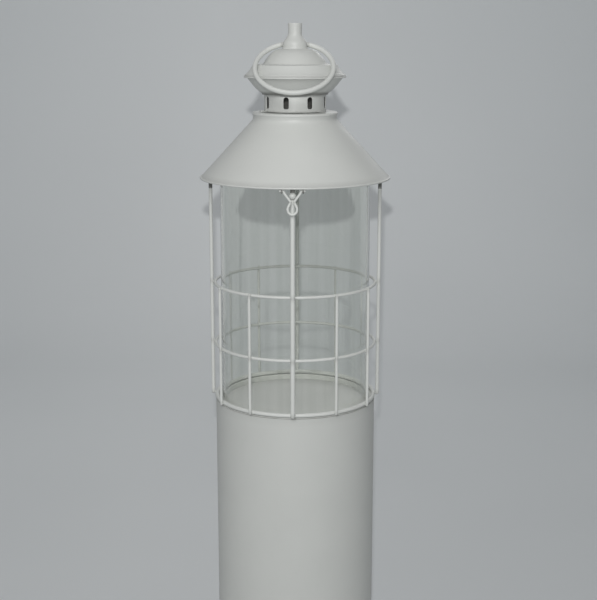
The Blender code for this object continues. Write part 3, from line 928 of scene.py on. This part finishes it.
def cap_dome():
    top = 0.8449
    edge = (0.0298, 0.8322)
    rows = 16
    dome = [(0.0034, top), (0.0080, top)]
    for row in range(rows + 1):
        share = row / rows
        dome.append((0.0120 + (edge[0] - 0.0120) * share, top - (top - edge[1]) * share ** 2.3))
    crease = curve_through([dome[-1], (0.0309, 0.8309), (0.0322, 0.83035), (0.0345, 0.8306),
                            (0.0385, 0.8305), (0.0405, 0.8300)], 4)
    skirt_top, skirt_foot = Vector(crease[-1]), Vector((0.0485, 0.82005))
    across = Vector((skirt_foot.y - skirt_top.y, skirt_top.x - skirt_foot.x)).normalized() * -1.0
    skirt = []
    steps = 40
    for step in range(1, steps + 1):
        share = step / steps
        ridge = 0.00026 * sum(math.exp(-((share - middle) / 0.035) ** 2) for middle in (0.80, 0.93))
        hollow = 0.0006 * math.sin(math.pi * share)
        skirt.append(skirt_top.lerp(skirt_foot, share) + across * (ridge - hollow))
    hem = 0.00065
    lip = arc((0.0493 - hem, 0.8186), hem, 110.0, -100.0, 10)
    path = dome + crease[1:] + skirt + lip
    loop = sheet_loop(path, CAP_SHEET * 0.8)
    obj = turned("cap_dome_spun", loop, ROOF_PAINT, 192)

    # Painted shade: lines in the crease below the dome and above the hem, and on the inner face.
    def dust_and_shade(p):
        r = p.xy.length
        return 0.22 * near(r, 0.0318, 0.0014) + 0.20 * near(r, 0.0484, 0.0008)

    set_shade_and_dust(obj, dust_and_shade, 0.9)
    piece(obj, "roof", "roof_paint", "cap_dome")


def cylinder_tool(radius, length, place):
    bm = bmesh.new()
    bmesh.ops.create_cone(bm, cap_ends=True, segments=64, radius1=radius, radius2=radius, depth=length)
    bmesh.ops.transform(bm, matrix=place, verts=bm.verts)
    return finish_mesh("cut_tool", bm, ROOF_PAINT)


def finial():
    low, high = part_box("finial")
    top = high.z
    foot = 0.8452
    knob = arc((0.0062, top - 0.0006), 0.0006, 90.0, 0.0, 5)
    flow = curve_through([(0.00675, top - 0.0016), (0.0066, top - 0.0040), (0.0065, top - 0.0080),
                          (0.0067, top - 0.0108), (0.0079, top - 0.0132), (0.0092, top - 0.0150),
                          (0.0106, top - 0.0168), (0.0116, top - 0.0187), (0.0119, top - 0.0206),
                          (0.0119, top - 0.0220)], 6)
    skirt = filleted([flow[-1], (0.0120, foot + 0.0006), (0.0129, foot - 0.0004), (0.0120, foot - 0.0008),
                      (0.0029, foot - 0.0006), (0.0029, low.z + 0.0004), (0.0026, low.z), (0.0, low.z)],
                     0.0008, 4)
    dimple = [(0.0, top - 0.00015), (0.0030, top - 0.00010)]
    loop = dimple + knob + flow + skirt[1:]
    obj = turned("finial_spun", loop, ROOF_PAINT, 128)
    axis_z = pivot_of("handle_swing").z
    place = Matrix.Translation((0.0, 0.0, axis_z)) @ Matrix.Rotation(math.pi / 2, 4, "Y")
    applied(obj, cylinder_tool(0.0027, 0.060, place))
    obj.data.materials.clear()
    obj.data.materials.append(ROOF_PAINT)
    crisp(obj, 0.00025)
    # Painted shade round the cross bore where the ring handle goes in.
    set_shade_and_dust(obj, lambda p: 0.5 * near(abs(p.x), 0.0117, 0.0014) * near(p.z, axis_z, 0.0038))
    piece(obj, "roof", "roof_paint", "finial")


HANDLE_R = 0.0369
HANDLE_WIRE_R = 0.00235
HANDLE_STRAIGHT = 0.0125
HANDLE_REST_DEG = 36.4


def ring_handle():
    centre = math.sqrt(HANDLE_R ** 2 - HANDLE_STRAIGHT ** 2)
    opening = math.asin(HANDLE_STRAIGHT / HANDLE_R)
    steps = 150
    path = []
    for step in range(steps + 1):
        angle = opening + (TAU - 2.0 * opening) * step / steps
        path.append((HANDLE_R * math.sin(angle), -(centre - HANDLE_R * math.cos(angle)), 0.0))
    for step in range(1, 12):
        path.append((-HANDLE_STRAIGHT + 2.0 * HANDLE_STRAIGHT * step / 12, 0.0, 0.0))
    pivot = Matrix.Translation(pivot_of("handle_swing"))
    tilt = pivot @ Matrix.Rotation(math.radians(HANDLE_REST_DEG), 4, "X")
    path = [tilt @ Vector(p) for p in path]
    obj = swept("ring_handle_wire", path, HANDLE_WIRE_R, CAGE_PAINT, closed=True, sides=28)
    # Painted shade where the wire enters the finial, and a faint even darkening elsewhere.
    set_shade_and_dust(obj, lambda p: 0.45 * near(abs(p.x), 0.0122, 0.0022) if p.z > 0.845 else 0.05)
    piece(obj, "handle", "cage_paint", "ring_handle")


# ---------------------------------------------------------------- hinge and latch

def tube_loop(outer, inner, half, edge=EDGE_ROUND):
    """A closed (r, z) loop for a short tube with broken edges, about z = 0."""
    return [(outer - edge, half), (outer - edge * 0.3, half - edge * 0.3), (outer, half - edge),
            (outer, -half + edge), (outer - edge * 0.3, -half + edge * 0.3), (outer - edge, -half),
            (inner + edge, -half), (inner, -half + edge), (inner, half - edge), (inner + edge, half)]


def along_x(centre):
    return Matrix.Translation(centre) @ Matrix.Rotation(math.pi / 2, 4, "Y")


def hinge():
    low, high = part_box("cage_hinge_knuckle")
    centre = (low + high) / 2
    outer = (high.z - low.z) / 2
    half = (high.x - low.x) / 2
    loop = tube_loop(outer, PIN_BORE_R, half)
    obj = turned("cage_hinge_knuckle_tube", loop, CAGE_PAINT, 72, place=along_x(centre))
    # Painted shade at the knuckle's ends, against the leaf.
    set_shade_and_dust(obj, lambda p: 0.35 * near(abs(p.x), half, 0.0008))
    piece(obj, "holder", "cage_paint", "cage_hinge_knuckle")

    low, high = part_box("hinge_pin")
    reach = (high.x - low.x) / 2
    head = [(0.0, reach), (0.0006, reach - 0.00005), (0.0012, reach - 0.0003), (0.0014, reach - 0.0006),
            (0.0014, reach - 0.0009), (PIN_R, reach - 0.0010)]
    loop = head + [(r, -z) for r, z in reversed(head)]
    obj = turned("hinge_pin_peened", loop, ZINC, 48, place=along_x((low + high) / 2))
    piece(obj, "holder", "zinc_steel", "hinge_pin")


def block(name, size, place):
    """A plain tool body for a Boolean."""
    bm = bmesh.new()
    bmesh.ops.create_cube(bm, size=1.0, matrix=place @ Matrix.Diagonal((*size, 1.0)))
    return finish_mesh(name, bm, ROOF_PAINT)


def hinge_leaf():
    """A folded strap: two knuckles, their legs, and a plate whose top flange is welded under the roof."""
    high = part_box("roof_hinge_leaf")[1]
    knuckle_low, knuckle_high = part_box("cage_hinge_knuckle")
    centre = (knuckle_low + knuckle_high) / 2
    outer = (knuckle_high.z - knuckle_low.z) / 2
    inner_x = (knuckle_high.x - knuckle_low.x) / 2 + GAP
    half = (high.x - inner_x) / 2
    middle = inner_x + half
    plate_foot = centre.z + outer + GAP
    plate_tall = high.z - plate_foot + 0.0006
    plate_place = Matrix.Translation((0.0, centre.y, plate_foot + plate_tall / 2))
    obj = block("roof_hinge_leaf_strap", (2.0 * high.x, LEAF_SHEET, plate_tall), plate_place)
    leg_tall = outer + 0.0030
    for side in (-1.0, 1.0):
        leg_place = Matrix.Translation((side * middle, centre.y, centre.z + leg_tall / 2))
        leg = block("leg_tool", (2.0 * half - 0.0002, LEAF_SHEET * 0.98, leg_tall), leg_place)
        applied(obj, leg, "UNION")
        place = along_x((side * middle, centre.y, centre.z))
        end = half - 0.0001
        loop = [(outer, end), (outer, -end), (0.0, -end), (0.0, end)]
        applied(obj, turned("knuckle_tool", loop, ROOF_PAINT, 64, place=place), "UNION")
    tilt = Matrix.Rotation(math.radians(-46.6), 4, "X")
    spot = Matrix.Translation((0.0, centre.y - 0.0012, high.z + 0.0014))
    flange = block("flange_tool", (2.0 * high.x - 0.0004, 0.0052, 0.0010), spot @ tilt)
    applied(obj, flange, "UNION")
    applied(obj, cylinder_tool(PIN_BORE_R, 0.040, along_x(centre)))
    obj.data.materials.clear()
    obj.data.materials.append(ROOF_PAINT)
    crisp(obj, 0.0002)
    # Painted shade along the plate's foot, above the knuckle.
    set_shade_and_dust(obj, lambda p: 0.3 * near(p.z, plate_foot, 0.0015))
    piece(obj, "roof", "roof_paint", "roof_hinge_leaf")


def latch_ball():
    low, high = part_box("latch_ball")
    centre = (low + high) / 2
    radius = (high.x - low.x) / 2
    wire = upright_facts("post_front")[2]
    collar = wire + GAP
    first = math.degrees(math.acos(collar / radius))
    ball = arc((0.0, 0.0), radius, first, -first, 28)
    loop = ball + [(wire + 0.00005, -radius * 0.86), (wire + 0.00005, radius * 0.86)]
    obj = turned("latch_ball_turned", loop, CAGE_PAINT, 72, place=Matrix.Translation(centre))
    # Painted shade in two bands where the ball meets the post.
    set_shade_and_dust(obj, lambda p: 0.4 * near(abs(p.z - centre.z), radius * 0.80, 0.0006))
    piece(obj, "holder", "cage_paint", "latch_ball")


def latch_lugs():
    """Two eyes punched from sheet, their necks cut to the roof's slope and welded under its rim."""
    for label in ("left", "right"):
        node = f"latch_lug_{label}"
        low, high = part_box(node)
        pivot = pivot_of("latch_swing")
        thick = high.x - low.x
        x = (low.x + high.x) / 2
        eye = pivot.z - low.z
        neck_half = 0.0016
        cone_top, cone_foot = cone_line()
        slope = (cone_top[1] - cone_foot[1]) / (cone_foot[0] - cone_top[0])
        sheet_z = cone_foot[1] + (cone_foot[0] - math.hypot(x, pivot.y)) * slope - 0.0006 - pivot.z
        count = 48
        outer, hole = [], []
        for step in range(count):
            angle = TAU * step / count
            across, up = math.cos(angle), math.sin(angle)
            reach = eye
            if up > 0.0:
                to_side = neck_half / max(abs(across), 1e-6)
                rise = up - slope * across
                to_sheet = sheet_z / rise if rise > 0.0 else to_side
                reach = max(eye, min(to_side, to_sheet))
            outer.append(Vector((across * reach, up * reach)))
            hole.append(Vector((across, up)) * LUG_HOLE_R)
        edge = 0.00022
        rings = []
        for face in (1.0, -1.0):
            rings.append((hole, face * (thick / 2 - edge)))
            rings.append(([p * (1 + edge / p.length) for p in hole], face * thick / 2))
            rings.append(([p * (1 - edge / p.length) for p in outer], face * thick / 2))
            rings.append((outer, face * (thick / 2 - edge)))
        order = rings[:4] + rings[:3:-1]
        bm = bmesh.new()
        made = [[bm.verts.new((x + offset, pivot.y + p.x, pivot.z + p.y)) for p in points]
                for points, offset in order]
        bridged(bm, made, closed=True)
        obj = finish_mesh(node + "_eye", bm, ROOF_PAINT, 50.0)
        # Painted shadow: the eye is dark below the pin's height, under the roof's rim, and a little darker
        # above.
        set_shade_and_dust(obj, lambda p: 0.9 if p.z < pivot.z + 0.0012 else 0.2)
        piece(obj, "roof", "roof_paint", node)


LATCH_WIRE_R = 0.0012


def latch_wire():
    """The bail: its ends turn out through the lugs, and its arms draw in to a neck and open into a loop."""
    half = [(0.0112, 0.0), (0.0090, 0.0), (0.0077, -0.0009), (0.0073, -0.0023), (0.0050, -0.0055),
            (0.0028, -0.0085), (0.0019, -0.0106), (0.0029, -0.0128), (0.0041, -0.0155), (0.0042, -0.0182),
            (0.0028, -0.0207)]
    left = [Vector((-x, 0.0, z)) for x, z in half]
    right = [Vector((x, 0.0, z)) for x, z in reversed(half)]
    pivot = pivot_of("latch_swing")
    path = curve_through(left + [Vector((0.0, 0.0, -0.0219))] + right, 8)
    obj = swept("latch_wire_bail", [pivot + p for p in path], LATCH_WIRE_R, CAGE_PAINT, sides=18)
    # Painted shade at the bail's narrow neck.
    set_shade_and_dust(obj, lambda p: 0.3 * near(p.z, pivot.z - 0.0106, 0.0015))
    piece(obj, "latch", "cage_paint", "latch_wire")


# ---------------------------------------------------------------- carried-over nodes, stage, lights, camera

def carried_nodes():
    for node in ("pillar_base_pan", "cap_washer", "cap_nut"):
        obj = frame["nodes"][node]
        obj.data.materials.clear()
        obj.data.materials.append(ZINC)


def backdrop():
    bm = bmesh.new()
    profile = [(-FLOOR_HALF, 0.0), (0.0, 0.0)]
    for step in range(25):
        angle = math.radians(90.0 * step / 24)
        profile.append((WALL_Y - COVE_R + COVE_R * math.sin(angle), COVE_R - COVE_R * math.cos(angle)))
    profile.append((WALL_Y, WALL_TOP))
    rows = [[bm.verts.new((x, y, z)) for y, z in profile] for x in (-FLOOR_HALF, FLOOR_HALF)]
    for index in range(len(profile) - 1):
        bm.faces.new((rows[0][index], rows[0][index + 1], rows[1][index + 1], rows[1][index]))
    obj = finish_mesh("backdrop", bm, BACKDROP)


def area_lamp(name, place, size, watts):
    lamp = bpy.data.lights.new(name, "AREA")
    lamp.shape = "RECTANGLE"
    lamp.size, lamp.size_y = size
    lamp.energy = watts
    obj = bpy.data.objects.new(name, lamp)
    obj.location = place
    obj.rotation_euler = (Vector(SOFT_BOX_TARGET) - Vector(place)).to_track_quat("-Z", "Y").to_euler()
    obj.visible_camera = False
    bpy.context.scene.collection.objects.link(obj)
    return obj


def lit_by(lamp, members):
    """Lets the lamp light those objects only. Everything still throws its shadow."""
    group = bpy.data.collections.new(lamp.name + "_receivers")
    for obj in members:
        group.objects.link(obj)
    lamp.light_linking.receiver_collection = group


def flash(name, above, left, power, size, even):
    """A small lamp by the camera. An even one lights near and far alike."""
    data = bpy.data.lights.new(name, "POINT")
    data.shadow_soft_size = size
    data.energy = 1.0 if even else power
    if even:
        data.use_nodes = True
        tree = data.node_tree
        falloff = tree.nodes.new("ShaderNodeLightFalloff")
        falloff.inputs["Strength"].default_value = power
        tree.links.new(falloff.outputs["Constant"], tree.nodes["Emission"].inputs["Strength"])
    obj = bpy.data.objects.new(name, data)
    obj.location = (CAMERA_PLACE[0] - left, CAMERA_PLACE[1], CAMERA_PLACE[2] + above)
    bpy.context.scene.collection.objects.link(obj)
    return obj


def lights():
    sheet = bpy.data.objects["backdrop"]
    tube = bpy.data.objects["glass_chimney_tube"]
    metal = [obj for obj in bpy.context.scene.objects if obj.type == "MESH" and obj not in (sheet, tube)]
    lit = {"metal": metal, "glass": [tube], "backdrop": [sheet]}
    lit_by(flash("flash", FLASH_ABOVE, FLASH_LEFT, FLASH_W, FLASH_SIZE, False), metal)
    wall_flash = flash("flash_on_wall", WALL_FLASH_ABOVE, WALL_FLASH_LEFT, WALL_FLASH, WALL_FLASH_SIZE, True)
    lit_by(wall_flash, [sheet])
    for name, group, place, size, watts in SOFT_BOXES:
        lit_by(area_lamp(name, place, size, watts), lit[group])

    world = bpy.data.worlds.new("studio")
    world.use_nodes = True
    sky = world.node_tree.nodes["Background"]
    sky.inputs["Color"].default_value = WORLD_COLOUR
    sky.inputs["Strength"].default_value = WORLD_STRENGTH
    bpy.context.scene.world = world


def camera():
    data = bpy.data.cameras.new("camera")
    data.lens = LENS_MM
    data.sensor_width = SENSOR_MM
    data.clip_start = 0.01
    obj = bpy.data.objects.new("camera", data)
    obj.location = CAMERA_PLACE
    obj.rotation_euler = (math.radians(90.0 - CAMERA_TILT_DEG), 0.0, math.radians(CAMERA_TURN_DEG))
    bpy.context.scene.collection.objects.link(obj)
    bpy.context.scene.camera = obj


bpy.context.scene.view_settings.view_transform = "Standard"
camera()
backdrop()
pillar()
tray()
foot_pads()
cage_rings()
uprights()
cage_welds()
glass()
roof_cone()
vent_collar()
cap_bowl()
cap_dome()
finial()
ring_handle()
hinge()
hinge_leaf()
latch_ball()
latch_lugs()
latch_wire()
carried_nodes()
lights()
